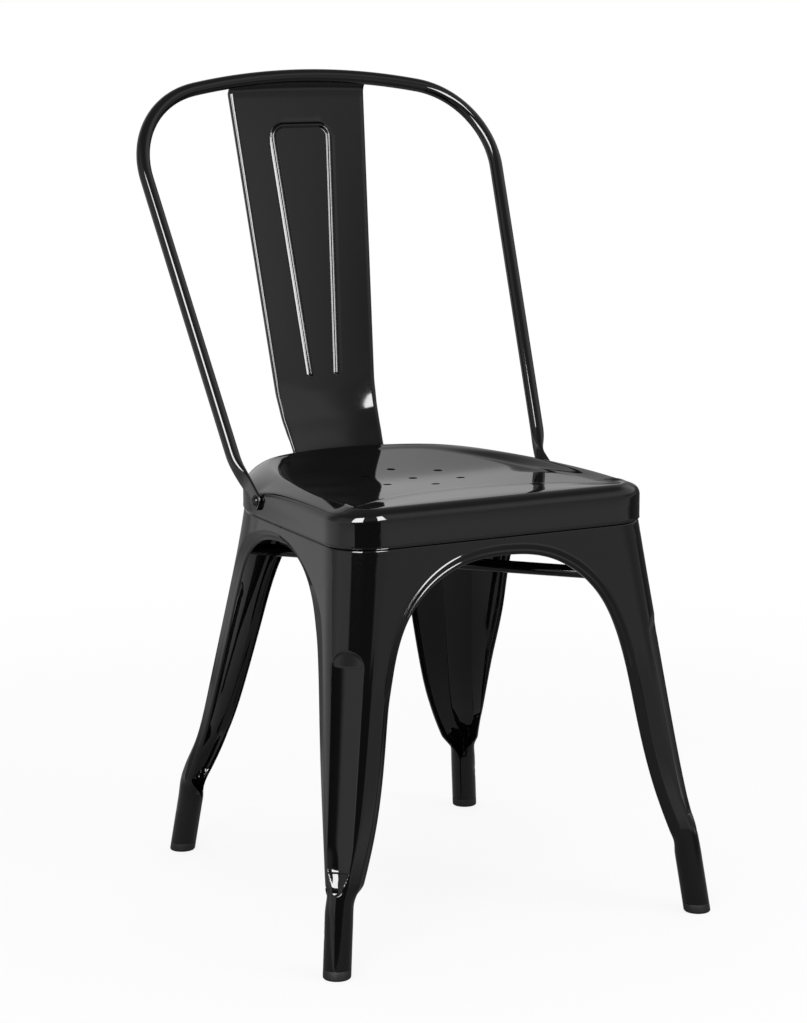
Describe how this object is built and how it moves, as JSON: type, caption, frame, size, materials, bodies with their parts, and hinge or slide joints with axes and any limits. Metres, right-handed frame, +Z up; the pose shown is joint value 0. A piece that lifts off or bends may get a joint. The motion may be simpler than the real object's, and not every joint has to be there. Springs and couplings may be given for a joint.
{
  "type": "bistro chair",
  "caption": "Metal side chair with a dished seat, splayed pressed sheet legs joined by arches, a bent tube back hoop and a bent back splat.",
  "frame": {"origin": "on the floor, under the middle of the chair's bounding box", "axes": "+Z up, -Y to the front of the chair, +X to the right as seen from the front"},
  "size_m": [0.448, 0.528, 0.8599],
  "materials": {
    "enamel": "gloss",
    "bolt_enamel": "gloss",
    "glide_plastic": "satin",
    "nut_steel": "satin"
  },
  "bodies": {
    "root": {"back_hoop": "enamel", "back_splat": "enamel", "brace_long": "enamel", "brace_short_front": "enamel", "brace_short_rear": "enamel", "foot_glide_front_left": "glide_plastic", "foot_glide_front_right": "glide_plastic", "foot_glide_rear_left": "glide_plastic", "foot_glide_rear_right": "glide_plastic", "hoop_bolts": "bolt_enamel", "hoop_nuts": "nut_steel", "hoop_washers": "nut_steel", "leg_front_left": "enamel", "leg_front_right": "enamel", "leg_rear_left": "enamel", "leg_rear_right": "enamel", "seat_pan": "enamel", "splat_bolts": "bolt_enamel", "splat_nuts": "nut_steel", "splat_washers": "nut_steel"}
  },
  "joints": []
}
